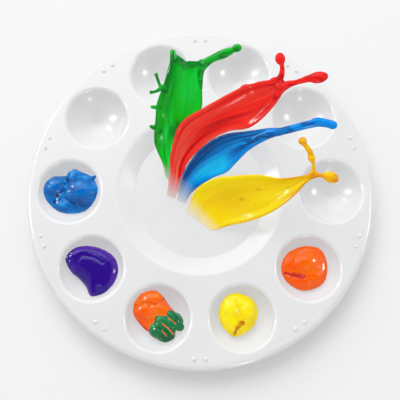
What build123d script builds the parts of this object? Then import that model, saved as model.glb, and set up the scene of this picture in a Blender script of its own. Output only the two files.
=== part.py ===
"""Round ten-well mixing palette with fresh paint: dabs in the wells and four sheets of thrown paint.

The palette is one thin moulding.  It lies flat, wells up, with the origin at the bottom centre of its
skirt, +Z up.  All sizes are in millimetres.
"""
import os
from math import asin, cos, degrees, radians, sin, sqrt

from build123d import *

# ---- driving dimensions: the moulding ---------------------------------------------------------------
outer_dia = 171.0          # across the bottom of the skirt
height = 12.7              # bottom edge of the skirt to the top face
wall = 1.4                 # wall thickness everywhere
skirt_draft = 0.5          # the skirt is this much smaller in radius at the top
shoulder_radius = 2.8      # rounding between the top face and the skirt
edge_radius = 0.4          # rounding of the skirt's bottom edge

# ---- driving dimensions: the wells ------------------------------------------------------------------
well_count = 10
well_ring_radius = 64.0    # centre of the palette to the centre of a well
well_opening_dia = 31.0
well_depth = 10.7
lip_radius = 2.0           # rounding of a well's lip
root_radius = 0.8          # rounding where a bowl's back meets the underside

centre_floor_dia = 65.0    # flat floor of the centre well
centre_top_dia = 81.0      # the same well at the top face
centre_depth = 4.7
centre_lip_radius = 4.0    # rounding at the top of its sloped wall
centre_foot_radius = 1.0   # rounding at the bottom of its sloped wall

# ---- driving dimensions: the raised dots, in pairs between the wells ---------------------------------
dot_dia = 2.1
dot_sink = 0.25            # the centre of a dot's ball below the top face
dot_ring_radius = 79.6
dot_half_angle = 1.94      # half the angle between the two dots of a pair

# ---- driving dimensions: the paint ------------------------------------------------------------------
dab_dome_radius = 30.0     # the crown of a dab
sheet_thickness = 2.6      # a thrown sheet, at the middle of its width

# ---- worked out -------------------------------------------------------------------------------------
outer_radius = outer_dia / 2
well_radius = well_opening_dia / 2
well_pitch = 360 / well_count
bowl_radius = (well_radius**2 + well_depth**2) / (2 * well_depth)
bowl_centre_z = height - well_depth + bowl_radius
bowl_back_radius = bowl_radius + wall
under_z = height - wall    # the underside of the top face
floor_z = height - centre_depth


def finish(piece, name):
    """Label a finished piece and write it to its own file."""
    piece.part.label = name
    export_step(piece.part, f"parts/{name}.step")


os.makedirs("parts", exist_ok=True)

# ---- the moulding -----------------------------------------------------------------------------------
# The corners of its section, as (radius, height), each with its rounding.
floor_radius, lip_place = centre_floor_dia / 2, centre_top_dia / 2
section = [
    ((0, floor_z), 0),
    ((floor_radius, floor_z), centre_foot_radius),
    ((lip_place, height), centre_lip_radius),
    ((outer_radius - skirt_draft, height), shoulder_radius),
    ((outer_radius, 0), edge_radius),
    ((outer_radius - wall, 0), edge_radius),
    ((outer_radius - skirt_draft - wall, under_z), shoulder_radius - wall),
    ((lip_place + wall / 2, under_z), centre_lip_radius - wall),
    ((floor_radius + wall / 2, floor_z - wall), centre_foot_radius + wall),
    ((0, floor_z - wall), 0),
]

# The bowls' backs end inside the top wall, at this latitude of their sphere.
back_latitude = degrees(asin((under_z + wall / 2 - bowl_centre_z) / bowl_back_radius))
back_root_radius = sqrt(bowl_back_radius**2 - (bowl_centre_z - under_z) ** 2)

with BuildPart() as palette_tray:
    with BuildSketch(Plane.XZ):
        with BuildLine():
            Polyline(*[corner for corner, rounding in section], close=True)
        make_face()
        for corner, rounding in section:
            if rounding:
                fillet(vertices().sort_by_distance((*corner, 0))[0], rounding)
    revolve(axis=Axis.Z)

    # the bowls: their backs hang under the top face, and their hollows open through it
    with Locations((0, 0, bowl_centre_z)):
        with PolarLocations(well_ring_radius, well_count):
            Sphere(bowl_back_radius, arc_size2=back_latitude, align=None)
    with Locations((0, 0, bowl_centre_z)):
        with PolarLocations(well_ring_radius, well_count):
            Sphere(bowl_radius, mode=Mode.SUBTRACT)
    circles = edges().filter_by(GeomType.CIRCLE)
    lips = circles.filter_by(lambda e: abs(e.radius - well_radius) < 0.01)
    fillet(lips, lip_radius)
    circles = edges().filter_by(GeomType.CIRCLE)
    roots = circles.filter_by(lambda e: abs(e.radius - back_root_radius) < 0.01)
    fillet(roots, root_radius)

    # the pairs of dots, half way between the wells
    for side in (-1, 1):
        start = well_pitch / 2 + side * dot_half_angle
        with Locations((0, 0, height - dot_sink)):
            with PolarLocations(dot_ring_radius, well_count, start_angle=start):
                Sphere(dot_dia / 2)

finish(palette_tray, "palette_tray")

# ---- the dabs ---------------------------------------------------------------------------------------
# Each dab fills the bottom of a bowl.  Its outline is seen from above, from the centre of its well.


def well_centre(angle):
    """The centre of the well at an angle, on the top face."""
    return well_ring_radius * cos(radians(angle)), well_ring_radius * sin(radians(angle))


def paint_dab(name, well_angle, crown, crown_height, outline, cut_by=None):
    """A dab of paint: its outline carried down to the bowl, under a dome with its top at the crown."""
    x, y = well_centre(well_angle)
    dome_centre_z = crown_height - dab_dome_radius
    with BuildPart() as dab:
        with BuildSketch(Plane((x, y, 0))):
            with BuildLine():
                Spline(*outline, periodic=True)
            make_face()
            if cut_by:
                with BuildLine():
                    Spline(*cut_by, periodic=True)
                make_face(mode=Mode.SUBTRACT)
        extrude(amount=2 * height)
        with Locations((x, y, bowl_centre_z)):
            Sphere(bowl_radius, mode=Mode.INTERSECT)
        with Locations((x + crown[0], y + crown[1], dome_centre_z)):
            Sphere(dab_dome_radius, mode=Mode.INTERSECT)
    finish(dab, name)


paint_dab(
    "paint_dab_blue", 180, crown=(0, 0), crown_height=13.4,
    outline=[
        (-13.2, 2), (-9, 8.6), (1, 12), (7.5, 9.8), (12, 7), (14, -0.5), (7, -9.2), (-5, -9.6), (-12, -3),
    ],
)
paint_dab(
    "paint_dab_purple", 216, crown=(0, 0), crown_height=12.4,
    outline=[
        (-13, 4), (-7.5, 11), (3, 10.8), (11.8, 4.5), (12, -5), (4, -12.6), (-1, -13), (-4, -7.5),
        (-10.5, -2),
    ],
)
green_outline = [(0, 3), (4, 4), (9, 2.6), (12, -1.5), (8.6, -6.5), (3.6, -11.2), (-3.6, -8), (-4.6, -2)]
paint_dab(
    "paint_dab_orange", 252, crown=(-2, 3), crown_height=12.0,
    outline=[(-12, 5), (-8, 11.6), (-1, 13), (5, 7), (9, 2), (2, -6), (-5.4, -6), (-10.5, -1)],
    cut_by=green_outline,
)
paint_dab(
    "paint_dab_green", 252, crown=(4, -3), crown_height=13.2,
    outline=green_outline,
)
paint_dab(
    "paint_dab_yellow", 288, crown=(-1, 1), crown_height=12.0,
    outline=[(-11, 1), (-9, 8.4), (-3, 11.8), (5, 9.4), (8, 2.5), (5, -4.6), (-3, -8.8), (-8.4, -4.6)],
)
paint_dab(
    "paint_dab_vermilion", 324, crown=(-1, 0), crown_height=12.6,
    outline=[(-12.8, 0), (-9.6, 7.8), (0, 11.2), (8, 8.4), (10.4, 0), (7, -7.6), (-1.8, -10.5), (-9.6, -6.6)],
)

# ---- the thrown paint -------------------------------------------------------------------------------
# A sheet rises from the floor of the centre well.  Each station across it is its two edges, left and
# right as the paint flew.  The first station lies under the floor, where the sheet is cut off.
# A thread leaves the sheet's far end as a round tail that thins out, and ends in a bead.


def flow_at(path, i):
    """The direction of a path of points at one of them."""
    before, after = path[max(i - 1, 0)], path[min(i + 1, len(path) - 1)]
    return (after - before).normalized()


def section_plane(middle, across, flow):
    """A plane across the flow at a point, with its x axis towards the right-hand edge."""
    normal = flow - across * (flow.dot(across) / across.dot(across))
    return Plane(origin=middle, x_dir=across, z_dir=normal)


def paint_splash(name, stations, threads):
    """One sheet of thrown paint with its threads and their beads."""
    edge_pairs = [(Vector(*left), Vector(*right)) for left, right in stations]
    middles = [(left + right) / 2 for left, right in edge_pairs]
    with BuildPart() as splash:
        for i, (left, right) in enumerate(edge_pairs):
            width = (right - left).length
            with BuildSketch(section_plane(middles[i], right - left, flow_at(middles, i))):
                SlotOverall(width, min(sheet_thickness, 0.8 * width))
        loft()
        split(bisect_by=Plane.XY.offset(floor_z), keep=Keep.TOP)
        for points, radii, bead_radius in threads:
            path = [Vector(*point) for point in points]
            for i, radius in enumerate(radii):
                flow = flow_at(path, i)
                with BuildSketch(section_plane(path[i], flow.cross(Vector(0, 0, 1)), flow)):
                    Circle(radius)
            loft()
            with Locations(path[-1]):
                Sphere(bead_radius)
    finish(splash, name)


paint_splash(
    "paint_splash_green",
    stations=[
        ((-18.0, 3.5, 6.0), (-15.0, 2.5, 6.0)),
        ((-19.0, 13.0, 17.0), (-13.5, 10.5, 13.0)),
        ((-19.5, 25.0, 27.0), (-6.0, 23.5, 18.0)),
        ((-19.5, 35.0, 35.0), (0.5, 36.0, 27.0)),
        ((-15.5, 46.5, 41.0), (1.0, 46.5, 34.0)),
        ((-12.5, 58.0, 45.0), (1.0, 56.0, 39.0)),
    ],
    threads=[
        (
            [(0.0, 52.0, 38.0), (5.0, 55.5, 41.5), (11.0, 57.0, 44.5), (17.0, 59.0, 46.5)],
            [2.2, 1.6, 1.5, 1.2], 1.9,
        ),
        (
            [(-17.0, 42.0, 39.5), (-20.0, 45.0, 41.5), (-21.0, 49.0, 42.5)],
            [1.6, 0.9, 0.8], 1.2,
        ),
    ],
)
paint_splash(
    "paint_splash_red",
    stations=[
        ((-17.0, -1.5, 6.0), (-13.0, -4.5, 6.0)),
        ((-15.0, 5.0, 17.0), (-10.0, 2.5, 11.0)),
        ((-13.0, 18.0, 26.0), (-6.5, 13.0, 15.0)),
        ((-9.0, 27.0, 34.0), (3.0, 22.0, 20.0)),
        ((1.0, 32.0, 40.0), (13.0, 26.0, 26.0)),
        ((19.5, 41.0, 45.0), (24.0, 26.0, 33.0)),
        ((32.0, 43.5, 47.0), (33.0, 32.0, 41.0)),
        ((37.5, 43.0, 48.0), (38.0, 38.5, 46.5)),
    ],
    threads=[
        (
            [(36.0, 42.0, 47.5), (36.5, 46.0, 49.0), (36.0, 52.0, 50.0)],
            [1.8, 1.2, 1.0], 2.0,
        ),
        (
            [(36.0, 40.0, 47.0), (43.0, 41.5, 48.5), (49.0, 43.0, 49.5), (54.0, 43.0, 50.0)],
            [2.0, 1.3, 1.5, 1.8], 2.3,
        ),
    ],
)
paint_splash(
    "paint_splash_blue",
    stations=[
        ((-11.5, -5.0, 6.0), (-8.0, -8.0, 6.0)),
        ((-9.5, 5.0, 16.0), (-4.0, 0.0, 10.0)),
        ((-3.0, 15.0, 22.0), (6.0, 6.5, 13.0)),
        ((4.0, 20.0, 28.0), (13.0, 8.5, 17.0)),
        ((11.0, 22.0, 33.0), (18.0, 12.5, 22.0)),
        ((21.0, 22.5, 36.5), (23.5, 16.0, 30.0)),
        ((31.0, 23.5, 38.5), (31.5, 19.0, 36.0)),
    ],
    threads=[
        (
            [
                (27.0, 20.5, 36.0), (37.0, 21.5, 38.8), (46.0, 23.5, 40.8), (54.0, 25.0, 41.8),
                (59.5, 24.0, 42.0),
            ],
            [2.3, 1.8, 1.8, 2.1, 2.0], 2.2,
        ),
    ],
)
paint_splash(
    "paint_splash_yellow",
    stations=[
        ((-8.0, -11.5, 6.0), (1.5, -20.5, 6.0)),
        ((-2.0, 0.0, 15.0), (13.5, -17.0, 10.5)),
        ((6.0, 4.0, 21.0), (23.5, -15.5, 15.0)),
        ((15.0, 4.0, 26.5), (31.5, -13.5, 21.5)),
        ((26.5, 3.5, 31.0), (38.0, -10.5, 28.0)),
        ((36.5, 1.0, 34.5), (44.0, -6.0, 33.0)),
        ((46.0, 1.5, 37.5), (48.5, -1.5, 37.0)),
        ((52.5, 3.0, 39.5), (53.5, 0.8, 39.0)),
    ],
    threads=[
        (
            [(50.0, 1.5, 38.5), (50.5, 6.0, 41.0), (49.0, 10.5, 43.0), (45.5, 15.0, 45.0)],
            [1.3, 0.9, 1.4, 1.0], 1.4,
        ),
        (
            [(50.0, 1.0, 38.0), (54.0, 1.0, 39.5), (58.5, -0.3, 40.5)],
            [1.3, 1.0, 1.4], 2.3,
        ),
    ],
)
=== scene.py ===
"""A round ten-well mixing palette: glossy white moulding, dabs of wet paint and four thrown sheets.

Sizes are in millimetres, as in the CAD part, and are turned into metres when a mesh is made.
"""
from math import cos, radians, sin

import bmesh
import bpy
import numpy as np
from mathutils import Matrix, Vector, kdtree, noise


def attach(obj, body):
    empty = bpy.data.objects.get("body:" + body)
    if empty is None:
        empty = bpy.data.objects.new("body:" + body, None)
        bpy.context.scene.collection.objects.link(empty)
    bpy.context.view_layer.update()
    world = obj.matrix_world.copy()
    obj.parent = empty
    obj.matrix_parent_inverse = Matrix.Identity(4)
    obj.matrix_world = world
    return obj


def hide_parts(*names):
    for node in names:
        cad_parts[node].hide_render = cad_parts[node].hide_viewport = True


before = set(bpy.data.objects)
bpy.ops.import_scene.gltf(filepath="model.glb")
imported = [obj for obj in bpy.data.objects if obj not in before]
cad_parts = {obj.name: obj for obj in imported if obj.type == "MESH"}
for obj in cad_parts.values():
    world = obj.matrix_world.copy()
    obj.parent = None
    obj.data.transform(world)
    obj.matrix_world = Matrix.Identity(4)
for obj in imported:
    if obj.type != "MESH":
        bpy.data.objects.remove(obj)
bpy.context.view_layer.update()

MM = 0.001

# ---- sizes of the moulding --------------------------------------------------------------------------
TOP_Z = 12.7
WELL_RING_RADIUS = 64.0
WELL_OPENING_RADIUS = 15.5
WELL_DEPTH = 10.7
BOWL_RADIUS = (WELL_OPENING_RADIUS**2 + WELL_DEPTH**2) / (2 * WELL_DEPTH)
BOWL_CENTRE_Z = TOP_Z - WELL_DEPTH + BOWL_RADIUS
CENTRE_FLOOR_Z = 8.0
CLEARANCE = 0.03           # between the paint and the plastic it lies on

# ---- half the thickness of a thrown sheet -----------------------------------------------------------
SHEET_RIM = 1.25
SHEET_MIDDLE = 0.55


# ---- node helpers -----------------------------------------------------------------------------------
class Nodes:
    """Builds one material's node tree."""

    def __init__(self, name):
        self.material = bpy.data.materials.new(name)
        self.material.use_nodes = True
        self.tree = self.material.node_tree
        self.shader = self.tree.nodes["Principled BSDF"]

    def add(self, kind, inputs=(), **settings):
        """A node with its settings, and its inputs by name or number: a value or another output."""
        node = self.tree.nodes.new(kind)
        for key, value in settings.items():
            setattr(node, key, value)
        for key, value in dict(inputs).items():
            self.feed(node.inputs[key], value)
        return node

    def feed(self, socket, value):
        """Gives an input a value, or links another node's output to it."""
        if isinstance(value, bpy.types.NodeSocket):
            self.tree.links.new(value, socket)
        else:
            socket.default_value = value

    def math(self, operation, a, b=0.0, c=0.0, clamp=False):
        inputs = {0: a, 1: b, 2: c}
        return self.add("ShaderNodeMath", inputs, operation=operation, use_clamp=clamp).outputs[0]

    def mix(self, factor, a, b):
        """The mix of two colours."""
        return self.add("ShaderNodeMix", {0: factor, 6: a, 7: b}, data_type="RGBA").outputs[2]

    def attribute(self, name):
        """A number that the mesh carries at each point."""
        return self.add("ShaderNodeAttribute", attribute_name=name).outputs["Fac"]

    def vector(self, x, y=0.0, z=0.0):
        return self.add("ShaderNodeCombineXYZ", {0: x, 1: y, 2: z}).outputs[0]

    def place(self, scale=(1, 1, 1), turn=0.0):
        """A point's place in its object, stretched by a scale and then turned about Z by degrees."""
        coords = self.add("ShaderNodeTexCoord").outputs["Object"]
        inputs = {"Vector": coords, "Rotation": (0, 0, radians(turn)), "Scale": scale}
        return self.add("ShaderNodeMapping", inputs).outputs[0]

    def noise(self, vector, scale, detail=3.0, roughness=0.5, distortion=0.0):
        inputs = {"Vector": vector, "Scale": scale, "Detail": detail, "Roughness": roughness,
                  "Distortion": distortion}
        return self.add("ShaderNodeTexNoise", inputs).outputs["Fac"]

    def ramp(self, factor, *stops):
        """A colour ramp through (position, grey or colour) stops."""
        node = self.add("ShaderNodeValToRGB", {"Fac": factor})
        elements = node.color_ramp.elements
        while len(elements) < len(stops):
            elements.new(0.5)
        for element, (position, shade) in zip(elements, stops):
            element.position = position
            element.color = shade if isinstance(shade, tuple) else (shade, shade, shade, 1)
        return node.outputs["Color"]

    def bump(self, height, strength, distance):
        inputs = {"Height": height, "Strength": strength, "Distance": distance}
        return self.add("ShaderNodeBump", inputs).outputs["Normal"]

    def set(self, **inputs):
        """Sets the shader's own sockets, by name with _ for a space."""
        for key, value in inputs.items():
            self.feed(self.shader.inputs[key.replace("_", " ")], value)


# ---- materials --------------------------------------------------------------------------------------
def colour(*shown):
    """A shader colour from the red, green and blue that a screen shows, 0 to 1."""
    linear = [c / 12.92 if c <= 0.04045 else ((c + 0.055) / 1.055) ** 2.4 for c in shown]
    return (*linear, 1)


def tray_plastic():
    """Glossy white moulded plastic: faint flow marks in its gloss, a trace of waviness."""
    n = Nodes("tray_plastic")
    wide = n.noise(n.place(), 38.0, 2.0)
    fine = n.noise(n.place(), 900.0, 3.0, 0.6)
    tint = n.ramp(wide, (0.3, colour(0.87, 0.872, 0.876)), (0.7, colour(0.885, 0.886, 0.888)))
    gloss = n.math("MULTIPLY_ADD", fine, 0.06, 0.2)
    wavy = n.math("ADD", wide, n.math("MULTIPLY", fine, 0.03))
    n.set(Base_Color=tint, Roughness=gloss, Normal=n.bump(wavy, 0.25, 0.00025))
    n.set(IOR=1.49, Coat_Weight=0.08, Coat_Roughness=0.12, Subsurface_Weight=0.12)
    n.set(Subsurface_Radius=(1.0, 1.0, 1.0), Subsurface_Scale=0.0015)
    return n.material


def floor_paper():
    """The plain pale surface that the palette lies on."""
    n = Nodes("floor_paper")
    grain = n.noise(n.place(), 300.0, 2.0)
    n.set(Base_Color=n.ramp(grain, (0.0, 0.82), (1.0, 0.86)), Roughness=0.9, Specular_IOR_Level=0.0)
    return n.material


def wet_gloss(n, height, strength, coat):
    """The shine of wet paint, with its small unevenness as bump."""
    fine = n.noise(n.place(), 1500.0, 2.0)
    rough = n.math("MULTIPLY_ADD", fine, 0.1, 0.16)
    n.set(Roughness=rough, Normal=n.bump(height, strength, 0.0003), IOR=1.48)
    n.set(Coat_Weight=coat, Coat_Roughness=0.04, Specular_IOR_Level=0.05)


def thrown_paint(name, body, deep, light, thread, spikes=0.16, root=0.2):
    """Wet paint drawn out into a sheet: streaks along the flow, darker rims, creases painted dark as shade,
    ridges painted light as highlight, soft patches of painted highlight and shade, pale root.

    root is how far along it the pale root reaches, and spikes is how far the streaks reach into it.
    """
    n = Nodes(name)
    along, across, depth = n.attribute("along"), n.attribute("across"), n.attribute("depth")
    flow = n.vector(n.math("MULTIPLY", along, 1.6), n.math("MULTIPLY", across, 5.0))
    streaks = n.noise(flow, 1.0, 4.0, 0.55, 0.3)
    broad = n.noise(n.vector(n.math("MULTIPLY", along, 1.5), n.math("MULTIPLY", across, 1.8)), 1.0, 2.0)
    tone = n.mix(n.ramp(broad, (0.45, 0.0), (0.75, 0.22)), body, deep)
    tone = n.mix(n.ramp(streaks, (0.52, 0.0), (0.8, 0.35)), tone, light)
    tone = n.mix(n.ramp(streaks, (0.2, 0.3), (0.4, 0.0)), tone, deep)
    rim = n.math("MULTIPLY", n.math("ABSOLUTE", across), n.ramp(streaks, (0.2, 1.0), (0.8, 0.86)))
    tone = n.mix(n.ramp(rim, (0.78, 0.0), (0.95, 0.5)), tone, deep)
    # Soft patches of painted highlight and painted shade, with some of the paint's own lighter and darker
    # colour.
    patches = n.attribute("tone")
    ragged = n.math("MULTIPLY", patches, n.ramp(streaks, (0.25, 0.5), (0.65, 1.0)))
    tone = n.mix(n.math("MULTIPLY", ragged, 1.0, clamp=True), tone, light)
    tone = n.mix(n.math("MULTIPLY", ragged, -1.0, clamp=True), tone, deep)
    # Painted shade in the creases and painted highlight on the ridges, from how hollow the skin is there.
    tone = n.mix(n.ramp(n.math("MULTIPLY", depth, 9.0), (0.08, 0.0), (1.0, 0.95)), tone, deep)
    tone = n.mix(n.ramp(n.math("MULTIPLY", depth, -5.0), (0.25, 0.0), (1.0, 0.4)), tone, light)
    tone = n.mix(n.ramp(along, (0.93, 0.0), (1.0, 0.7)), tone, thread)
    strands = n.noise(n.place((110, 380, 380)), 1.0, 2.0)
    strands = n.math("MULTIPLY", strands, n.ramp(along, (0.85, 0.0), (1.0, 1.0)))
    tone = n.mix(n.ramp(strands, (0.46, 0.0), (0.62, 0.75)), tone, deep)
    stipple = n.math("MULTIPLY", n.math("SUBTRACT", n.noise(n.place(), 2600.0, 1.0), 0.5), 0.1)
    uneven = n.math("ADD", n.math("MULTIPLY", n.math("SUBTRACT", streaks, 0.5), spikes), stipple)
    from_root = n.math("ADD", along, uneven)
    paleness = n.ramp(from_root, (0.15 * root, 0.97), (0.55 * root, 0.5), (root, 0.0))
    tone = n.mix(paleness, tone, colour(0.90, 0.90, 0.90))
    n.set(Base_Color=tone)
    wet_gloss(n, n.math("ADD", streaks, n.math("MULTIPLY", broad, 0.5)), 0.3, 0.2)
    return n.material


def dab_paint(name, body, deep, light, smear, turn=0.0, contrast=0.5):
    """Wet paint as it was pressed down: knife streaks along x, creases painted dark as shade, ridges
    painted light as highlight, soft patches of painted highlight and shade, and smeared colour, some of it
    painted shade along creases.

    turn rolls the noise behind the streaks, so that each dab has its own.  contrast is how strongly
    the deep and the light colour show in it.
    """
    n = Nodes(name)
    streaks = n.noise(n.place((90, 420, 200), turn), 1.0, 4.0, 0.6, 0.6)
    clouds = n.noise(n.place(), 120.0, 3.0, 0.55, 0.8)
    depth = n.attribute("depth")
    tone = n.mix(n.ramp(clouds, (0.4, 0.0), (0.7, contrast)), body, deep)
    tone = n.mix(n.ramp(streaks, (0.52, 0.0), (0.72, contrast * 0.9)), tone, light)
    # Painted shade in the creases and painted highlight on the ridges, from how hollow the skin is there.
    tone = n.mix(n.ramp(n.math("MULTIPLY", depth, 6.0), (0.08, 0.0), (0.9, 0.95)), tone, deep)
    tone = n.mix(n.ramp(n.math("MULTIPLY", depth, -5.0), (0.15, 0.0), (1.0, 0.6)), tone, light)
    # Soft patches of painted highlight and painted shade, with some of the paint's own lighter and darker
    # colour.
    patches = n.math("MULTIPLY", n.attribute("tone"), n.ramp(streaks, (0.25, 0.5), (0.65, 1.0)))
    tone = n.mix(n.math("MULTIPLY", patches, 1.0, clamp=True), tone, light)
    tone = n.mix(n.math("MULTIPLY", patches, -1.0, clamp=True), tone, deep)
    # Smeared colour; where it is near black it is painted shade along the creases.
    amount = n.math("MULTIPLY", n.attribute("smear"), n.ramp(streaks, (0.25, 0.55), (0.6, 1.0)))
    tone = n.mix(amount, tone, smear)
    n.set(Base_Color=tone)
    wet_gloss(n, n.math("ADD", streaks, clouds), 0.35, 0.45)
    return n.material


# ---- shapes of wet paint ----------------------------------------------------------------------------
class Shells:
    """Closed shells in millimetres that overlap, gathered before they are fused into one skin."""

    def __init__(self):
        self.points, self.faces, self.marks = [], [], []

    def add(self, points, faces, marks):
        """Points, faces by point number, and for each point how far along and across the flow it is."""
        first = len(self.points)
        self.points += [tuple(p) for p in points]
        self.marks += [tuple(m) for m in marks]
        self.faces += [tuple(first + i for i in face) for face in faces]

    def tube_of_rings(self, rings, marks):
        """A closed shell from rings of equal count, its two ends closed by a fan."""
        count, around = len(rings), len(rings[0])
        points = [p for ring in rings for p in ring]
        flat_marks = [m for ring in marks for m in ring]
        faces = []
        for i in range(count - 1):
            for k in range(around):
                a, b = i * around + k, i * around + (k + 1) % around
                faces.append((a, b, b + around, a + around))
        for i, order in ((0, -1), (count - 1, 1)):
            centre = np.mean(rings[i], axis=0)
            points.append(centre)
            flat_marks.append(tuple(np.mean(marks[i], axis=0)))
            for k in range(around):
                pair = [i * around + k, i * around + (k + 1) % around][::order]
                faces.append((*pair, len(points) - 1))
        self.add(points, faces, flat_marks)

    def lump(self, centre, radii, turn=0.0, mark=(0.5, 0.0)):
        """A ball stretched to three radii and then turned about Z."""
        bm = bmesh.new()
        bmesh.ops.create_icosphere(bm, subdivisions=4, radius=1.0)
        turned = Matrix.Rotation(radians(turn), 4, "Z")
        place = Matrix.Translation(centre) @ turned @ Matrix.Diagonal((*radii, 1))
        points = [place @ v.co for v in bm.verts]
        faces = [[v.index for v in f.verts] for f in bm.faces]
        bm.free()
        self.add(points, faces, [mark] * len(points))

    def skin(self, voxel, smoothing, floor=None):
        """The shells fused into one closed skin: its points, faces and the nearest shell's marks.

        With a floor, what is below that height is cut away and the cut is closed.
        """
        mesh = bpy.data.meshes.new("shells")
        mesh.from_pydata(self.points, [], self.faces)
        rough = bpy.data.objects.new("shells", mesh)
        bpy.context.collection.objects.link(rough)
        remesh = rough.modifiers.new("fuse", "REMESH")
        remesh.mode, remesh.voxel_size = "VOXEL", voxel
        smooth = rough.modifiers.new("smooth", "SMOOTH")
        smooth.factor, smooth.iterations = 0.5, smoothing
        bm = bmesh.new()
        bm.from_object(rough, bpy.context.evaluated_depsgraph_get())
        bpy.data.objects.remove(rough)
        if floor is not None:
            whole = [*bm.verts, *bm.edges, *bm.faces]
            bmesh.ops.bisect_plane(bm, geom=whole, plane_co=(0, 0, floor), plane_no=(0, 0, 1),
                                   clear_inner=True)
            cut = [edge for edge in bm.edges if edge.is_boundary]
            cap = bmesh.ops.holes_fill(bm, edges=cut, sides=0)["faces"]
            bmesh.ops.triangulate(bm, faces=cap)
            bm.verts.index_update()
        points = np.array([v.co for v in bm.verts])
        faces = [tuple(v.index for v in f.verts) for f in bm.faces]
        bm.free()
        tree = kdtree.KDTree(len(self.points))
        for i, point in enumerate(self.points):
            tree.insert(point, i)
        tree.balance()
        marks = np.array([self.marks[tree.find(p)[1]] for p in points])
        return points, faces, marks


def smooth_path(points, count):
    """A count of points on a smooth curve through the given ones: x, y, z and any more values."""
    p = np.array(points, float)
    steps = np.linalg.norm(np.diff(p[:, :3], axis=0), axis=1)
    knots = np.concatenate(([0], np.cumsum(np.sqrt(steps))))
    slopes = np.empty_like(p)
    slopes[1:-1] = (p[2:] - p[:-2]) / (knots[2:] - knots[:-2])[:, None]
    slopes[0] = (p[1] - p[0]) / (knots[1] - knots[0])
    slopes[-1] = (p[-1] - p[-2]) / (knots[-1] - knots[-2])
    out = []
    for t in np.linspace(0, knots[-1], count):
        i = min(int(np.searchsorted(knots, t, "right")) - 1, len(p) - 2)
        width = knots[i + 1] - knots[i]
        s = (t - knots[i]) / width
        out.append((2 * s**3 - 3 * s**2 + 1) * p[i] + (s**3 - 2 * s**2 + s) * width * slopes[i]
                   + (3 * s**2 - 2 * s**3) * p[i + 1] + (s**3 - s**2) * width * slopes[i + 1])
    return np.array(out)


def unit(v):
    return v / max(np.linalg.norm(v), 1e-9)


def step(x, low, high):
    """0 below low, 1 above high, smooth between."""
    s = np.clip((x - low) / (high - low), 0, 1)
    return s * s * (3 - 2 * s)


def sheet_thickness(along, v, half, ropes, fade=0.12):
    """Half the sheet's thickness at places v across it, from -1 to 1, where half is half its width.

    A rope fades in and out over a length, fade.
    """
    edge = min(SHEET_RIM, half * 0.9) * (0.35 + 0.65 * step(along, 0.04, 0.22))
    from_edge = half * (1 - np.abs(v))
    round_part = np.sqrt(np.clip(edge**2 - (edge - from_edge) ** 2, 0, None))
    thin = edge + (min(SHEET_MIDDLE, edge) - edge) * step(from_edge, edge, edge * 3.2)
    thick = np.where(from_edge < edge, round_part, thin)
    for line, height, spread in ropes:
        bell = np.exp(-(((v - np.interp(along, *zip(*line))) / spread) ** 2)) * step(from_edge, 0, edge)
        start, end = line[0][0], line[-1][0]
        fade_in = step(along, start, start + fade)
        fade_out = 1 - step(along, end - fade, end)
        thick = thick + height * bell * fade_in * fade_out
    return thick


def add_sheet(shells, stations, sag=0.0, ropes=(), fold=None, scoop=0.0, full_width=12.0,
              count=150, around=112):
    """A thrown sheet from its stations (left edge, right edge): thin, with a thick rounded rim.

    Places on it are (along, across), along from 0 to 1 and across from -1 to 1.  sag is how far its
    middle hangs behind its edges.  Each rope (line of places, height, width) is a thicker strand, or
    a groove where its height is negative.  fold (line of places, drop): left of that line the sheet
    falls away by drop.  scoop is how far its free end curves in between its corners.  Where it is
    narrower than its full width, it sags and falls away less.
    """
    ends = smooth_path([(*left, *right) for left, right in stations], count)
    left, right = ends[:, :3], ends[:, 3:]
    middles = (left + right) / 2
    flow = np.gradient(middles, axis=0)
    phi = np.linspace(0, 2 * np.pi, around, endpoint=False)
    v = -np.cos(phi)
    side = np.where(phi < np.pi, 1.0, -1.0)
    rings, marks = [], []
    for i in range(count):
        along = i / (count - 1)
        width = np.linalg.norm(right[i] - left[i])
        across = unit(right[i] - left[i])
        forward = unit(flow[i])
        normal = unit(np.cross(across, forward))
        half = width / 2
        thick = sheet_thickness(along, v, half, ropes)
        fullness = min(1, half / (full_width / 2))
        bend = -sag * (1 - v**2) * fullness * step(along, 0.02, 0.3)
        if fold:
            beyond = np.clip(np.interp(along, *zip(*fold[0])) - v, 0, None)
            bend -= fold[1] * beyond * fullness
        pull = -scoop * (1 - v**2) * step(along, 0.6, 1.0)
        spine = middles[i] + np.outer(v * half, across) + np.outer(bend, normal) + np.outer(pull, forward)
        rings.append(spine + np.outer(side * thick, normal))
        marks.append([(along, value) for value in v])
    shells.tube_of_rings(rings, marks)
    if width > 6 * SHEET_RIM:  # a wide free end gets a thick lip from corner to corner
        free_end = [tuple(p) for p in spine[: around // 2 + 1 : around // 8]]
        add_thread(shells, free_end, [SHEET_RIM * 0.9] * len(free_end), start=0.995, length=0.0)


def add_thread(shells, points, radii, start=1.0, length=1.0, around=20):
    """A thread of paint through points, with a radius at each, round at both ends.

    start and length: where it begins along the flow, for its colour, and how far it goes on.
    """
    path = smooth_path([(*p, r) for p, r in zip(points, radii)], 14 * len(points))
    centres, radius = path[:, :3], path[:, 3]
    flow = np.gradient(centres, axis=0)
    side = unit(np.cross(flow[0], (0.3, 0.2, 1.0)))
    phi = np.linspace(0, 2 * np.pi, around, endpoint=False)
    rings, marks = [], []
    for i, centre in enumerate(centres):
        direction = unit(flow[i])
        side = unit(side - direction * np.dot(side, direction))
        other = np.cross(direction, side)
        rings.append(centre + radius[i] * (np.outer(np.cos(phi), side) + np.outer(np.sin(phi), other)))
        marks.append([(start + length * i / len(centres), 0.0)] * around)
    for i, end in ((0, start), (-1, start + length)):
        shells.lump(centres[i], (radius[i],) * 3, mark=(end, 0.0))
    shells.tube_of_rings(rings, marks)


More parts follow.
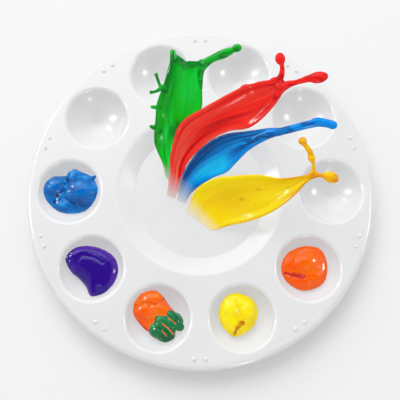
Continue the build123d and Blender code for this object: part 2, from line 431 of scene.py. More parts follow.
def hollows(points, faces, rounds=3):
    """How hollow the skin is at each point, above 0 in a crease and below 0 on a ridge; its normals."""
    pairs = np.array([(f[k], f[(k + 1) % len(f)]) for f in faces for k in range(len(f))])
    degree = np.bincount(pairs.ravel(), minlength=len(points))

    def spread(values):
        total = np.zeros_like(values)
        np.add.at(total, pairs[:, 0], values[pairs[:, 1]])
        np.add.at(total, pairs[:, 1], values[pairs[:, 0]])
        return total / degree.reshape(-1, *[1] * (values.ndim - 1))

    normals = np.zeros_like(points)
    corners = np.array([f[:4] if len(f) > 3 else (*f, f[2]) for f in faces])
    a, b, c, d = (points[corners[:, k]] for k in range(4))
    cross = np.cross(c - a, d - b)
    for k in range(4):
        np.add.at(normals, corners[:, k], cross)
    normals /= np.maximum(np.linalg.norm(normals, axis=1), 1e-9)[:, None]
    drawn = points
    for _ in range(rounds):
        drawn = spread(drawn)
    depth = np.einsum("ij,ij->i", drawn - points, normals)
    return spread(depth), normals


def patch_tone(u, v, patches):
    """The tone at places (u, v) that soft patches give: -1 for the deep colour to 1 for the light.
    The patches are painted shade and painted highlights, with some of the paint's own darker and lighter
    colour.
    """
    tone = np.zeros(len(u))
    for at_u, at_v, length, width, amount in patches:
        tone += amount * np.exp(-(((u - at_u) / length) ** 2) - ((v - at_v) / width) ** 2)
    return np.clip(tone, -1, 1)


def make_piece(name, node, points, faces, material, **numbers):
    """The finished mesh, in metres, that rides on the body and stands for its CAD node.

    numbers: values at each point, by name, that the material reads.
    """
    mesh = bpy.data.meshes.new(name)
    mesh.from_pydata([tuple(p) for p in points * MM], [], faces)
    mesh.shade_smooth()
    piece = bpy.data.objects.new(name, mesh)
    bpy.context.collection.objects.link(piece)
    for key, values in numbers.items():
        attribute = mesh.attributes.new(key, "FLOAT", "POINT")
        attribute.data.foreach_set("value", np.ascontiguousarray(values, dtype=np.float32))
    set_material(piece, material)
    piece.visible_diffuse = False      # it casts a shadow but throws no colour on what is round it
    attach(piece, "root")
    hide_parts(node)


# ---- dabs -------------------------------------------------------------------------------------------
def ring_through(points, count):
    """A smooth closed line through points, evenly divided."""
    steps_each = 60            # from one given point to the next
    looped = [*points[-3:], *points, *points[:3]]
    path = smooth_path([(*p, 0.0) for p in looped], steps_each * len(looped))[:, :2]
    start = np.argmin(np.linalg.norm(path[:len(path) // 2] - points[0], axis=1))
    lengths = np.linalg.norm(np.diff(path[start:], axis=0), axis=1)
    away = start + 100         # far enough on for the nearest place to be where the loop closes
    back = away + np.argmin(np.linalg.norm(path[away:] - path[start], axis=1))
    loop = path[start:back]
    walked = np.concatenate(([0], np.cumsum(lengths[:len(loop) - 1])))
    at = np.linspace(0, walked[-1], count, endpoint=False)
    return np.column_stack([np.interp(at, walked, loop[:, k]) for k in (0, 1)])


def bowl_z(x, y):
    """The height of the bowl under a place measured from its centre."""
    return BOWL_CENTRE_Z - np.sqrt(np.clip(BOWL_RADIUS**2 - x**2 - y**2, 1, None))


def add_cushion(shells, outline, crown, lip=0.9, undercut=0.7, count=120, levels=26):
    """A fat patch of paint with an outline, bulging over its foot, its top at the crown.

    lip is how high its edge stands over the bowl, and undercut how far its foot is inside the edge.
    What is under the bowl is drawn back to it later.
    """
    line = ring_through(outline, count)
    centre = line.mean(axis=0)
    edge_z = bowl_z(line[:, 0], line[:, 1]) + lip
    rings = []
    foot = bowl_z(*centre) - 3.0
    for level in range(levels):
        s = sin(radians(90) * (level + 1) / levels)
        height = edge_z + (crown - edge_z) * (1 - s**2.6) ** (1 / 2.2)
        rings.append(np.column_stack((centre + (line - centre) * s, height)))
    inset = line - centre
    inset *= (1 - undercut / np.linalg.norm(inset, axis=1))[:, None]
    rings.append(np.column_stack((centre + inset, edge_z - lip - 0.2)))
    rings.append(np.column_stack((centre + inset * 0.9, np.full(count, foot))))
    shells.tube_of_rings(rings, [[(0.5, 0.0)] * count] * len(rings))


def near_line(points, line):
    """How far each point is, seen from above, from a smooth line."""
    best = np.full(len(points), 1e9)
    path = smooth_path([(*p, 0.0) for p in line], 6 * len(line))[:, :2]
    for a, b in zip(path[:-1], path[1:]):
        run = b - a
        t = np.clip(((points[:, :2] - a) @ run) / max(run @ run, 1e-9), 0, 1)
        best = np.minimum(best, np.linalg.norm(points[:, :2] - a - t[:, None] * run, axis=1))
    return best


def waves(points, size, seed):
    """Soft irregular noise at each point, about -1 to 1."""
    return np.array([noise.noise(Vector(p) / size + Vector((seed, 0, 0))) for p in points])


def inside_bowl(points):
    """The points, those under the bowl drawn back to it, and which ones those were."""
    bowl_centre = np.array((0, 0, BOWL_CENTRE_Z))
    reach = np.linalg.norm(points - bowl_centre, axis=1)
    limit = BOWL_RADIUS - CLEARANCE
    outside = reach > limit
    points[outside] = bowl_centre + (points[outside] - bowl_centre) * (limit / reach[outside])[:, None]
    return points, outside


def smear_strength(points, smears, seed):
    """How strongly ragged smears (line, width) show at each point, 0 to 1; some of them are painted shade
    along creases.
    """
    smear = np.zeros(len(points))
    ragged = 0.35 * waves(points, 1.1, seed + 31) + 0.2 * waves(points, 0.5, seed + 37)
    for line, width in smears:
        away = near_line(points, line) / width
        smear = np.maximum(smear, 1 - step(away + ragged, 0.45, 1.0))
    return smear


def paint_dab(colour_name, angle, crown, outline, lumps, creases, smears, patches, material):
    """One dab in the well at an angle, measured from the well's centre.

    lumps: (x, y, z, radius x, radius y, radius z, turn).  creases: (line, width, depth); a negative
    depth is a ridge.  smears: (line, width); on the blue dab they are painted shade along the creases.
    patches: (x, y, radius x, radius y, tone), painted highlights and painted shade, with some of the
    paint's own lighter and darker colour.
    """
    shells = Shells()
    add_cushion(shells, outline, crown)
    for x, y, z, rx, ry, rz, turn in lumps:
        shells.lump((x, y, z), (rx, ry, rz), turn)
    points, faces, _ = shells.skin(voxel=0.28, smoothing=3)
    _, normals = hollows(points, faces, rounds=1)
    upward = np.clip(normals[:, 2], 0, 1)
    push = 0.09 * waves(points, 2.4, angle) + 0.05 * waves(points, 0.9, angle + 7)
    for line, width, depth in creases:
        push -= depth * np.exp(-((near_line(points, line) / width) ** 2)) * upward
    points, on_bowl = inside_bowl(points + normals * push[:, None])
    depth, _ = hollows(points, faces)
    depth[on_bowl] = 0
    smear = smear_strength(points, smears, angle)
    tone = patch_tone(points[:, 0], points[:, 1], patches)
    well = WELL_RING_RADIUS * np.array((cos(radians(angle)), sin(radians(angle)), 0))
    make_piece(f"dab_{colour_name}", f"paint_dab_{colour_name}", points + well, faces, material,
               depth=depth, smear=smear, tone=tone)


def blue_dab():
    paint_dab(
        "blue", angle=180, crown=10.2,
        outline=[(-13.4, 2), (-9.6, 8), (-3, 9.4), (0.8, 12.2), (5.6, 10.6), (11, 7.4), (13.8, 0.5),
                 (8, -8.6), (-4, -9.8), (-11.4, -4.4)],
        lumps=[(-7.6, 3.2, 8.4, 5.6, 4.9, 4.1, 15), (1.8, 7.4, 8.7, 4.4, 4.2, 4.5, 0),
               (4.4, 0.4, 7.8, 8.6, 7.0, 5.4, -8), (-3.4, -5.4, 6.4, 6.6, 3.6, 3.6, -14),
               (9.4, 6.8, 9.4, 2.8, 1.5, 1.6, 20), (12.4, 8.1, 10.2, 1.4, 1.0, 1.1, 15)],
        creases=[
                 ([(-2.6, 9), (-1.4, 6.4), (-2.0, 3.4), (-3.6, 0.6), (-6.4, -1.8), (-7.4, -5.4)], 0.6, 0.4),
                 ([(-1.5, 6.6), (-1.1, 5.4)], 0.6, 0.5), ([(-7, -2), (-6, -1.4)], 0.8, 0.4),
                 ([(-3.4, -2.6), (0, -4.6), (3.6, -7.6)], 0.8, 0.6),
                 ([(4.2, 9.6), (4.4, 6.8), (3.8, 4.4)], 0.6, 0.3),
                 ([(0.6, 9), (1.4, 6.4), (3.6, 4.6)], 0.5, -0.3), ([(6.4, 8.4), (8.6, 5.4)], 0.5, -0.25),
                 ([(-4.6, -6.4), (-1, -7.4)], 0.7, -0.3)],
        # Near-black smears along the creases: painted shade.
        smears=[([(-1.5, 6.8), (-1.2, 5.8)], 0.8), ([(-7.0, -2.2), (-6.0, -1.5)], 0.8),
                ([(-7.5, -4.4), (-7.4, -5.4)], 0.7)],
        # Painted glints and painted shade, with some of the paint's own lighter and darker colour.
        patches=[(4, -4.4, 4, 2.4, -0.6), (7.6, -6.4, 5, 2, -0.6), (-9, -1.4, 3, 2, -0.4),
                 (-3, 9.4, 1.4, 1.2, 1.0), (1, 8.2, 0.7, 1.6, 0.9), (6, 7.6, 1.6, 0.9, 0.9),
                 (-2.4, 2.6, 1.2, 0.8, 0.8), (4.4, 4.2, 1, 1.2, 0.7), (-8.6, 3.4, 2, 1.2, 0.5),
                 (-3.4, -6.4, 2.4, 1, 0.6)],
        # Its near-black smear colour is painted shade in the creases.
        material=dab_paint("blue_dab_paint", body=colour(0.0, 0.42, 0.75), deep=colour(0.0, 0.20, 0.48),
                           light=colour(0.0, 0.66, 0.95), smear=colour(0.05, 0.03, 0.18), turn=35))


def purple_dab():
    paint_dab(
        "purple", angle=216, crown=11.8,
        outline=[(-13, 4), (-10.6, -1.4), (-6.6, -4.9), (-3.2, -8.8), (-0.9, -12.6), (1.6, -13.2),
                 (6.6, -11.2), (11, -6), (12.4, -0.5), (10.8, 5), (6, 9), (-1, 11.2), (-7.5, 10.6),
                 (-11.6, 7.6)],
        lumps=[],
        creases=[([(-9.4, 6.4), (-3.4, 8.8), (3.6, 7.6), (8.2, 3.8), (9.6, -1.4), (8, -6.6), (4, -10)],
                  1.3, -0.35),
                 ([(-4.4, 6.2), (0.6, 5.2), (5, 2.6)], 0.7, 0.28),
                 ([(-10.4, 2.4), (-8, -1.4), (-4.4, -4.8)], 1.2, -0.4),
                 ([(3.4, -8.6), (4.2, -9)], 0.8, -0.35)],
        smears=[([(-8, 9), (-3, 10.4), (3.6, 9.4), (10, 4.6), (11.8, -1.6), (9.4, -7.6)], 1.3),
                ([(-3, -9), (0, -12.6)], 0.9)],
        # Painted glints and painted shade, with some of the paint's own lighter and darker colour.
        patches=[(0, 0, 6, 5, -0.5), (-9, 0.4, 1.6, 2.4, 0.9), (10.4, -3.4, 1.2, 3, 0.9),
                 (2, 6.4, 5, 1.4, 0.4)],
        material=dab_paint("purple_dab_paint", body=colour(0.17, 0.04, 0.52),
                           deep=colour(0.13, 0.01, 0.46), light=colour(0.30, 0.09, 0.62),
                           smear=colour(0.31, 0.10, 0.63), turn=-30, contrast=0.25))


def orange_dab():
    paint_dab(
        "orange", angle=252, crown=10.4,
        outline=[(-12, 4.6), (-11.4, 7.4), (-8, 11.6), (-2, 13), (1.8, 10.6), (5, 6), (8.4, 1.6), (6, -3),
                 (2, -6), (-4.6, -6.6), (-10, -1.6), (-12, 2)],
        lumps=[(-3.6, 8.6, 9.6, 5.8, 3.4, 2.8, 8), (-6.4, 3.4, 8.6, 5.2, 4.2, 3.4, -40),
               (0.6, 3.8, 8.8, 6.4, 4.2, 3.0, -35), (-9.8, 6.4, 9.4, 1.9, 1.2, 1.4, 20)],
        creases=[([(-12, 5.4), (-8.8, 5.9), (-5.4, 6.9), (-1, 6.2)], 0.6, 0.7),
                 ([(-12, 4), (-9.6, 4.2)], 0.5, 0.5), ([(-9, 7.2), (-5.4, 8.2)], 0.6, -0.3),
                 ([(-0.4, 11), (0.8, 8)], 0.6, -0.3), ([(-2, 5.4), (2, 4.4)], 0.6, -0.35),
                 ([(-7, 1), (-4, -3.6)], 0.7, 0.3)],
        smears=[([(2.4, 10), (5.4, 6), (8.2, 2)], 0.8), ([(-10.4, -1.2), (-5, -6)], 0.9)],
        # Painted glints and painted shade, with some of the paint's own lighter and darker colour.
        patches=[(-1, 2, 3, 3, 0.4), (-8, 1, 2, 4, -0.4), (-0.6, 10.4, 1.6, 1, 0.6),
                 (-7.6, 6.4, 1.6, 0.7, 0.6)],
        material=dab_paint("orange_dab_paint", body=colour(1.0, 0.41, 0.0), deep=colour(0.97, 0.28, 0.0),
                           light=colour(1.0, 0.52, 0.05), smear=colour(0.93, 0.16, 0.04), turn=-45,
                           contrast=0.55))


def green_dab():
    paint_dab(
        "green", angle=252, crown=11.9,
        outline=[(-2.8, 2.6), (0.4, 2.4), (3.6, 4), (7, 3), (10, 2.0), (12, -1.5), (11, -4.6), (8.4, -6),
                 (7.6, -9.4), (3.4, -11.4), (-0.6, -10), (-3.8, -8), (-5.2, -5), (-4.0, -1.6)],
        lumps=[(7.2, 0.2, 9.8, 4.6, 2.5, 2.5, -40), (9.2, -3.2, 9.4, 3.6, 2.4, 2.5, -40),
               (2.8, -2.4, 9.8, 5.2, 3.1, 2.8, -40), (0.6, -6.4, 9.0, 5.2, 2.9, 2.7, -38),
               (5.2, -7.4, 8.8, 3.2, 2.5, 2.5, -40)],
        creases=[([(2.2, -1.4), (5.2, -4.4), (8.4, -7.4)], 0.5, 0.8),
                 ([(4.4, 1.2), (9.6, -3.4)], 0.5, 0.6), ([(0.2, -4.4), (4.8, -9.2)], 0.5, 0.6),
                 ([(6.6, 1.8), (11, -1.6)], 0.4, 0.35), ([(-2.4, -6.6), (1.2, -9.8)], 0.45, 0.4),
                 ([(-3.4, -1), (-3.2, -4)], 0.5, -0.35)],
        smears=[([(2.2, -2.6), (5.2, -5.2), (7.4, -7.6)], 0.42),
                ([(4.9, -0.1), (7.2, -1.7), (8.4, -2.7)], 0.3),
                ([(2.0, -5.9), (3.2, -7.2), (4.2, -8.4)], 0.42)],
        # Painted glints and painted shade, with some of the paint's own lighter and darker colour.
        patches=[(-3.2, -2.2, 0.9, 1.8, 1.0), (4.4, -9.6, 3, 1.2, -0.6), (-3, -7, 2, 1.6, -0.5),
                 (0.6, 0.2, 1.6, 0.8, 0.5)],
        material=dab_paint("green_dab_paint", body=colour(0.02, 0.47, 0.25), deep=colour(0.0, 0.29, 0.15),
                           light=colour(0.12, 0.62, 0.36), smear=colour(0.93, 0.42, 0.22), turn=-40,
                           contrast=0.75))


def yellow_dab():
    paint_dab(
        "yellow", angle=288, crown=11.5,
        outline=[(-11, 1), (-9, 8.4), (-3, 11.8), (5, 9.2), (8.2, 2.6), (5.2, -4.8), (-3, -8.8),
                 (-8.6, -4.8)],
        lumps=[(-4.6, 3.6, 8.0, 5.2, 6.0, 4.1, 20), (1.8, 2.6, 8.0, 5.0, 6.4, 4.0, -15)],
        creases=[([(-2.8, 8.4), (-2.0, 4.6), (-1.0, 0.8), (-1.8, -3), (-4, -8)], 0.6, 0.3),
                 ([(1.0, 3), (-0.6, -0.6)], 0.5, 0.22), ([(-1.6, -3), (1.2, -0.8)], 0.8, 0.35),
                 ([(-8.4, -1.4), (-7.2, -5.8)], 0.7, -0.4), ([(4.2, 3.6), (5.6, 1.6)], 0.7, -0.3)],
        smears=[([(-3.6, -7.6), (-2.2, -4.6)], 0.9), ([(-2.2, -4.6), (-0.4, -2.6), (0.4, -2.4)], 1.5)],
        # Painted glints and painted shade, with some of the paint's own lighter and darker colour.
        patches=[(-2.2, 4, 1, 4, -0.6), (0.6, 1.4, 0.8, 2.4, -0.5), (5, -2, 2, 3, -0.3),
                 (-5, 4, 2.4, 3, 0.4)],
        material=dab_paint("yellow_dab_paint", body=colour(1.0, 0.89, 0.0), deep=colour(0.93, 0.74, 0.0),
                           light=colour(1.0, 0.95, 0.12), smear=colour(0.74, 0.42, 0.02), turn=60,
                           contrast=0.45))


def vermilion_dab():
    paint_dab(
        "vermilion", angle=324, crown=10.8,
        outline=[(-12.8, 0), (-9.6, 7.4), (-1, 11.2), (7, 9.4), (10.2, 1), (7.4, -7.2), (-1.6, -10.4),
                 (-9.4, -6.8)],
        lumps=[(-1.2, 2.8, 7.2, 7.8, 6.4, 4.8, 25), (1.6, -3.4, 6.6, 7.4, 5.0, 4.4, 0),
               (-7.6, 1.2, 7.8, 3.8, 4.4, 3.2, 40)],
        creases=[([(-10.8, -2.2), (-6.8, -3.6), (-2.4, -4.4)], 1.0, 0.8),
                 ([(-2.6, -3.8), (-0.6, 0.6)], 0.7, 0.3),
                 ([(-6, 6.6), (-8, 4.2), (-11.2, 1.2)], 0.9, -0.45),
                 ([(5.6, -2.6), (4.6, -5)], 0.9, -0.5), ([(3.6, 2), (4.2, 0.8)], 0.8, -0.35)],
        smears=[([(-10.8, -2.2), (-7, -3.2)], 0.9), ([(-7.4, -3.4), (-5, -3.6), (-2.6, -3.9)], 1.7)],
        # Painted glints and painted shade, with some of the paint's own lighter and darker colour.
        patches=[(1.6, 4, 4, 3, 0.3), (-4, -6, 5, 2, -0.5), (8, 0, 1.6, 6, -0.4),
                 (0.6, -6.4, 0.9, 0.7, 1.0), (2.2, -4.6, 0.6, 0.5, 1.0), (-0.6, 0.6, 1, 0.8, 0.5)],
        material=dab_paint("vermilion_dab_paint", body=colour(1.0, 0.38, 0.0),
                           deep=colour(0.97, 0.26, 0.0), light=colour(1.0, 0.52, 0.0),
                           smear=colour(0.76, 0.11, 0.07), turn=20, contrast=0.4))


# ---- thrown sheets ----------------------------------------------------------------------------------
def paint_splash(colour_name, shells, material, patches=(), flow_relief=0.1, seed=0):
    """The sheet and its threads as one skin, standing on the centre well's floor.

    patches: (along, across, length, width, tone), soft patches of painted highlight and painted shade,
    with some of the paint's own lighter and darker colour.  flow_relief is the height of its furrows.
    """
    floor = CENTRE_FLOOR_Z + CLEARANCE
    points, faces, marks = shells.skin(voxel=0.36, smoothing=4, floor=floor)
    _, normals = hollows(points, faces, rounds=1)
    along, across = marks[:, 0], marks[:, 1]
    flow = np.column_stack((along * 2.0, across * 2.6, np.full(len(points), seed)))
    sheet = 1 - step(along, 0.97, 1.02)
    push = flow_relief * waves(flow, 1.0, seed) * sheet + 0.06 * waves(points, 2.2, seed + 3)
    foot = step(points[:, 2], floor, floor + 1.0)
    points = points + normals * (push * foot)[:, None]
    depth, _ = hollows(points, faces)
    depth *= foot
    make_piece(f"splash_{colour_name}", f"paint_splash_{colour_name}", points, faces, material,
               along=along, across=across, depth=depth, tone=patch_tone(along, across, patches))


def green_splash():
    shells = Shells()
    add_sheet(shells,
              [((-18, 3.5, 6), (-15, 2.5, 6)), ((-18, 13, 17), (-13, 10.5, 13)),
               ((-19.5, 25, 27), (-6, 23.5, 18)), ((-19.5, 35, 35), (0.5, 36, 27)),
               ((-15.5, 46.5, 41), (1, 46.5, 34)), ((-12.5, 58, 45), (1, 56, 39))],
              sag=2.6, scoop=3.6,
              fold=([(0, 1.4), (0.3, 0.9), (0.42, 0.35), (0.52, -0.2), (0.7, -0.55), (1, -0.8)], 4.5),
              ropes=[([(0.2, 1.0), (0.42, 0.35), (0.52, -0.2), (0.7, -0.55), (0.98, -0.8)], 0.9, 0.13),
                     ([(0.05, 0.2), (0.3, 0.1), (0.5, -0.5), (0.62, -0.75)], 0.6, 0.12),
                     ([(0.08, -0.4), (0.3, -0.35), (0.45, -0.6)], 0.45, 0.12),
                     ([(0.1, 0.6), (0.25, 0.45), (0.38, 0.0)], -0.4, 0.1)])
    add_thread(shells, [(0.6, 45, 34), (0.5, 51, 37.6), (2.4, 54.4, 40), (6, 56, 42.2), (11, 57.2, 44.5),
                        (16, 58.6, 46.3)], [0.7, 1.4, 2.1, 1.8, 2.1, 1.2])
    shells.lump((11, 57.0, 44.3), (3.2, 1.9, 1.8), 16, mark=(1.5, 0))
    shells.lump((16.8, 59.0, 46.5), (2.3, 1.9, 1.8), 20, mark=(1.9, 0))
    add_thread(shells, [(-12.2, 55, 43.5), (-12.4, 57.6, 45.0)], [1.7, 1.3])
    add_thread(shells, [(-16.6, 42, 39), (-18.4, 43.6, 40.4), (-20, 47.4, 42.2)], [1.7, 0.9, 0.7])
    shells.lump((-20.1, 47.9, 42.4), (1.0, 1.0, 1.0), mark=(1.9, 0))
    add_thread(shells, [(-17.4, 42.6, 40), (-20, 40.6, 40.4), (-22, 40.0, 40.6)], [1.3, 0.8, 0.7])
    shells.lump((-22.3, 40.0, 40.6), (1.0, 0.9, 0.9), mark=(1.9, 0))
    add_thread(shells, [(-19, 35.8, 32.4), (-20.9, 35.7, 32.7), (-22.6, 35.7, 33.2)], [1.0, 1.0, 0.8])
    add_thread(shells, [(-20, 27.7, 22.0), (-21.8, 28.5, 23.1), (-23.6, 29.3, 24)], [1.4, 1.1, 0.9])
    paint_splash("green", shells, thrown_paint(
        "green_splash_paint", body=colour(0.0, 0.76, 0.11), deep=colour(0.0, 0.36, 0.11),
        light=colour(0.10, 0.93, 0.40), thread=colour(0.0, 0.62, 0.16)),
        # Painted highlights and painted shade, with some of the paint's own lighter and darker colour.
        patches=[(0.75, 0.3, 0.15, 0.4, 0.3), (0.46, 0.4, 0.06, 0.45, -2.0), (1.0, 0.0, 0.02, 1.5, -1.5),
                 (0.42, -0.3, 0.1, 0.15, 0.9), (0.3, 0.3, 0.1, 0.2, 0.6), (0.7, -0.5, 0.2, 0.1, -0.6),
                 (0.35, -0.9, 0.2, 0.2, -0.6), (0.84, -0.85, 0.16, 0.16, -1.4),
                 (0.12, 0.0, 0.06, 0.6, -0.5)], seed=3)


def red_splash():
    shells = Shells()
    add_sheet(shells,
              [((-17, -1.5, 6), (-13, -4.5, 6)), ((-15, 5, 17), (-10, 2.5, 11)),
               ((-13, 18, 26), (-6.5, 13, 15)), ((-9, 27, 34), (3, 22, 20)),
               ((1, 32, 40), (13, 26, 26)), ((19.5, 41, 45), (24, 26, 33)),
               ((32, 43.5, 47), (33, 32, 41)), ((37.5, 43, 48), (38, 38.5, 46.5))],
              sag=2.0, ropes=[([(0.03, 0.1), (0.3, 0.4), (0.6, 0.45), (0.8, 0.6)], 0.5, 0.1),
                              ([(0.05, -0.1), (0.3, 0.2), (0.6, 0.25), (0.82, 0.4)], -0.45, 0.09),
                              ([(0.02, -0.6), (0.3, -0.35), (0.55, -0.4)], 0.5, 0.2),
                              ([(0.4, -0.2), (0.7, -0.2), (0.97, 0.3)], 0.35, 0.12)])
    add_thread(shells, [(29, 42, 45.6), (33.6, 42.6, 46.8), (36.2, 44.4, 48), (36.8, 48, 49.2),
                        (36.2, 52, 50)], [0.6, 1.3, 1.5, 1.1, 1.1])
    shells.lump((35.9, 52.2, 49.9), (2.3, 2.9, 2.0), 8, mark=(1.9, 0))
    add_thread(shells, [(29.6, 32.6, 38.2), (34, 36.2, 43.2), (38.4, 40.4, 47.2), (43, 41.5, 48.5),
                        (49, 43, 49.5), (54, 43.4, 50)], [0.4, 1.0, 1.8, 1.2, 1.7, 2.0])
    shells.lump((36.2, 41.2, 47.0), (2.4, 1.9, 1.3), 30, mark=(0.98, 0))
    shells.lump((52.6, 43.3, 49.8), (4.6, 2.7, 2.0), 10, mark=(1.9, 0))
    shells.lump((20.2, 40.7, 44.6), (2.4, 1.4, 1.4), 24, mark=(0.7, -1))
    shells.lump((33.4, 43.4, 47.0), (2.2, 1.2, 1.3), 15, mark=(0.9, -1))
    paint_splash("red", shells, thrown_paint(
        "red_splash_paint", body=colour(1.0, 0.14, 0.09), deep=colour(0.66, 0.02, 0.05),
        light=colour(1.0, 0.46, 0.36), thread=colour(0.93, 0.11, 0.10)),
        # Painted highlights and painted shade, with some of the paint's own lighter and darker colour.
        patches=[(0.27, 0.2, 0.13, 0.12, 1.1), (0.25, -0.3, 0.2, 0.5, 0.5), (0.62, -0.4, 0.2, 0.3, 0.2),
                 (0.3, 0.55, 0.2, 0.07, -1.0), (0.6, 0.35, 0.16, 0.08, -1.1), (0.9, 0.6, 0.1, 0.3, -0.8),
                 (0.5, -0.75, 0.3, 0.1, -0.8), (0.5, 0.9, 0.2, 0.15, 0.5)], seed=11)


def blue_splash():
    shells = Shells()
    add_sheet(shells,
              [((-11.5, -5, 6), (-8, -8, 6)), ((-9.5, 5, 16), (-4, 0, 10)),
               ((-3, 15, 22), (6, 6.5, 13)), ((4, 20, 28), (13, 8.5, 17)),
               ((11, 22, 33), (18, 12.5, 22)), ((21, 22.5, 36.5), (23.5, 16, 30)),
               ((31, 23.5, 38.5), (31.5, 19, 36)), ((39, 23.4, 39.7), (39.2, 20.6, 38.8))],
              sag=2.2, ropes=[([(0.05, -0.7), (0.4, -0.5), (0.9, -0.2)], 0.6, 0.12),
                              ([(0.1, -0.4), (0.4, -0.2), (0.85, 0.05)], -0.4, 0.09),
                              ([(0.3, 0.0), (0.6, 0.1), (0.95, 0.3)], 0.5, 0.12),
                              ([(0.4, 0.6), (0.7, 0.6), (0.95, 0.6)], 0.4, 0.12),
                              ([(0.5, 0.3), (0.7, 0.35), (0.95, 0.1)], -0.35, 0.08)])
    add_thread(shells, [(20, 18.4, 30.4), (26, 20.2, 34.8), (31.5, 21.2, 37.3), (37, 21.8, 38.8),
                        (46, 23.6, 40.8), (54, 25, 41.8), (59.5, 24, 42)],
               [0.5, 1.3, 2.0, 1.8, 1.8, 2.0, 1.9])
    shells.lump((59.6, 23.8, 42), (2.4, 2.0, 2.1), -20, mark=(1.9, 0))
    shells.lump((53, 25.2, 41.8), (3.6, 2.2, 2.2), 6, mark=(1.8, 0))
    paint_splash("blue", shells, thrown_paint(
        "blue_splash_paint", body=colour(0.0, 0.51, 0.86), deep=colour(0.0, 0.17, 0.44),
        light=colour(0.06, 0.80, 1.0), thread=colour(0.02, 0.55, 0.90)),
        # Painted highlights and painted shade, with some of the paint's own lighter and darker colour.
        patches=[(0.42, 0.45, 0.12, 0.4, 1.6), (0.27, 0.3, 0.08, 0.3, 0.7), (0.24, -0.7, 0.26, 0.32, -1.9),
                 (0.5, -0.95, 0.35, 0.2, -1.3), (0.15, 0.9, 0.1, 0.3, -1.0), (0.8, -0.1, 0.16, 0.14, 0.9),
                 (0.7, -0.45, 0.2, 0.12, -0.9), (0.66, 0.5, 0.14, 0.12, -0.8)], seed=19)


def yellow_splash():
    shells = Shells()
    add_sheet(shells,
              [((-8, -11.5, 6), (1.5, -20.5, 6)), ((-2, 0, 15), (13.5, -17, 10.5)),
               ((6, 4, 21), (23.5, -15.5, 15)),
               ((15, 4, 26.5), (31.5, -13.5, 21.5)), ((26.5, 3.5, 31), (38, -10.5, 28)),
               ((36.5, 1, 34.5), (44, -6, 33)), ((46, 1.5, 37.5), (48.5, -1.5, 37)),
               ((52.5, 3, 39.5), (53.5, 0.8, 39))],
              sag=3.0, ropes=[([(0.55, -0.1), (0.98, 0.0)], 0.3, 0.3),
                              ([(0.4, 0.5), (0.95, 0.35)], 0.25, 0.12)])
    add_thread(shells, [(48.5, 0.8, 37.6), (50.4, 2.4, 39), (50.5, 6, 41), (49, 10.5, 43), (45.5, 15, 45)],
               [0.9, 1.1, 0.8, 1.3, 1.0])
    shells.lump((49.6, 8.4, 42.2), (1.7, 2.4, 1.5), 18, mark=(1.5, 0))
    shells.lump((45.4, 15.2, 45.1), (1.9, 1.9, 1.5), mark=(1.9, 0))
    add_thread(shells, [(50, 1, 38), (54, 1, 39.5), (58.5, -0.3, 40.5)], [1.3, 1.0, 1.4])
    shells.lump((58.2, -0.1, 40.4), (3.7, 2.6, 2.1), -20, mark=(1.9, 0))
    paint_splash("yellow", shells, thrown_paint(
        "yellow_splash_paint", body=colour(1.0, 0.86, 0.0), deep=colour(0.84, 0.50, 0.0),
        light=colour(1.0, 0.92, 0.02), thread=colour(0.94, 0.66, 0.0), spikes=0.04, root=0.13),
        # Painted highlights and painted shade, with some of the paint's own lighter and darker colour.
        patches=[(0.28, 0.1, 0.14, 0.5, -0.3), (0.3, -0.9, 0.3, 0.25, 0.7), (0.84, -0.85, 0.12, 0.25, -1.3),
                 (0.8, 0.85, 0.16, 0.2, -1.2), (0.94, 0, 0.07, 0.8, -1.0), (0.36, 0.15, 0.012, 0.05, -0.9),
                 (0.52, -0.1, 0.015, 0.06, -0.7), (0.42, 0.5, 0.01, 0.04, -0.6)], flow_relief=0.08, seed=27)


# ---- scene ------------------------------------------------------------------------------------------
def set_material(obj, material):
    """Gives every material slot of an object one material."""
    if not obj.material_slots:
        obj.data.materials.append(material)
    for material_slot in obj.material_slots:
        material_slot.material = material


def area_light(name, place, size, power, length=None, gloss_only=False):
    """A soft box that faces the palette; with a length, a strip that long and size wide."""
    data = bpy.data.lights.new(name, "AREA")
    data.size = size
    if length:
        data.shape, data.size_y = "RECTANGLE", length
    data.energy = power
    light = bpy.data.objects.new(name, data)
    light.location = place
    light.rotation_euler = (-light.location).to_track_quat("-Z", "Y").to_euler()
    light.visible_diffuse = not gloss_only
    bpy.context.collection.objects.link(light)


def room_light():
    """A soft white room: dimmer near the floor's edge and straight above, where nothing hangs."""
    world = bpy.data.worlds.new("studio")
    world.use_nodes = True
    tree = world.node_tree
    direction = tree.nodes.new("ShaderNodeTexCoord").outputs["Generated"]
    parts = tree.nodes.new("ShaderNodeSeparateXYZ")
    brightness = tree.nodes.new("ShaderNodeValToRGB")
    elements = brightness.color_ramp.elements
    levels = ((0.0, 0.7), (0.45, 1.02), (0.78, 1.02), (0.95, 0.12))
    while len(elements) < len(levels):
        elements.new(0.5)
    for element, (height, level) in zip(elements, levels):
        element.position = height
        element.color = (level, level, level, 1)
    tree.links.new(direction, parts.inputs[0])
    tree.links.new(parts.outputs["Z"], brightness.inputs["Fac"])
    tree.links.new(brightness.outputs["Color"], tree.nodes["Background"].inputs["Color"])
    tree.nodes["Background"].inputs["Strength"].default_value = 1.0
    bpy.context.scene.world = world


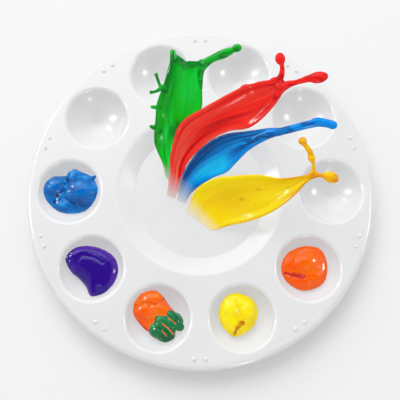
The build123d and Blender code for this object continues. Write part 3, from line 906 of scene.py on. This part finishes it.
def studio():
    """The floor and the lights."""
    reach = 12.0
    corners = [(x * reach, y * reach, 0) for x, y in ((-1, -1), (1, -1), (1, 1), (-1, 1))]
    mesh = bpy.data.meshes.new("floor")
    mesh.from_pydata(corners, [], [(0, 1, 2, 3)])
    floor = bpy.data.objects.new("floor", mesh)
    bpy.context.collection.objects.link(floor)
    set_material(floor, floor_paper())

    area_light("key", (-0.24, 0.78, 0.78), 1.1, 8.8)
    area_light("strip_near", (0.62, 0.00, 0.37), 0.025, 0.8, 0.11, gloss_only=True)
    area_light("strip_far", (0.62, 0.06, 0.37), 0.025, 0.8, 0.11, gloss_only=True)
    area_light("front_strip", (0.22, -0.72, 0.16), 0.05, 1.2, 0.3, gloss_only=True)
    area_light("back_strip", (-0.42, 0.36, 0.37), 0.03, 1.6, 0.22, gloss_only=True)
    area_light("left_strip", (-0.54, 0.06, 0.34), 0.04, 2.4, 0.2, gloss_only=True)


def soft_highlights():
    """Shows brightness as it is, but rounds off the brightest whites instead of clipping them."""
    view = bpy.context.scene.view_settings
    view.view_transform = "Standard"
    view.use_curve_mapping = True
    brightest = 1.35
    view.curve_mapping.white_level = (brightest,) * 3
    points = view.curve_mapping.curves[3].points
    points[1].location = (1.0, 1.0)
    for level, shown in ((0.35, 0.35), (0.7, 0.7), (0.9, 0.885), (1.1, 0.97)):
        points.new(level / brightest, shown)
    view.curve_mapping.update()


def camera():
    """Looks down on the palette from its front edge, close enough to see its far side recede."""
    distance, elevation, aim_y = 0.304, radians(77), -0.0045
    top = Vector((0, 0, TOP_Z * MM))
    data = bpy.data.cameras.new("camera")
    data.lens = 56.0
    eye = bpy.data.objects.new("camera", data)
    eye.location = top + Vector((0, -distance * cos(elevation), distance * sin(elevation)))
    aim = Vector((0, aim_y, TOP_Z * MM))
    eye.rotation_euler = (aim - eye.location).to_track_quat("-Z", "Y").to_euler()
    bpy.context.collection.objects.link(eye)
    bpy.context.scene.camera = eye


camera()
studio()
room_light()
soft_highlights()
set_material(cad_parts["palette_tray"], tray_plastic())
blue_dab()
purple_dab()
orange_dab()
green_dab()
yellow_dab()
vermilion_dab()
green_splash()
red_splash()
blue_splash()
yellow_splash()
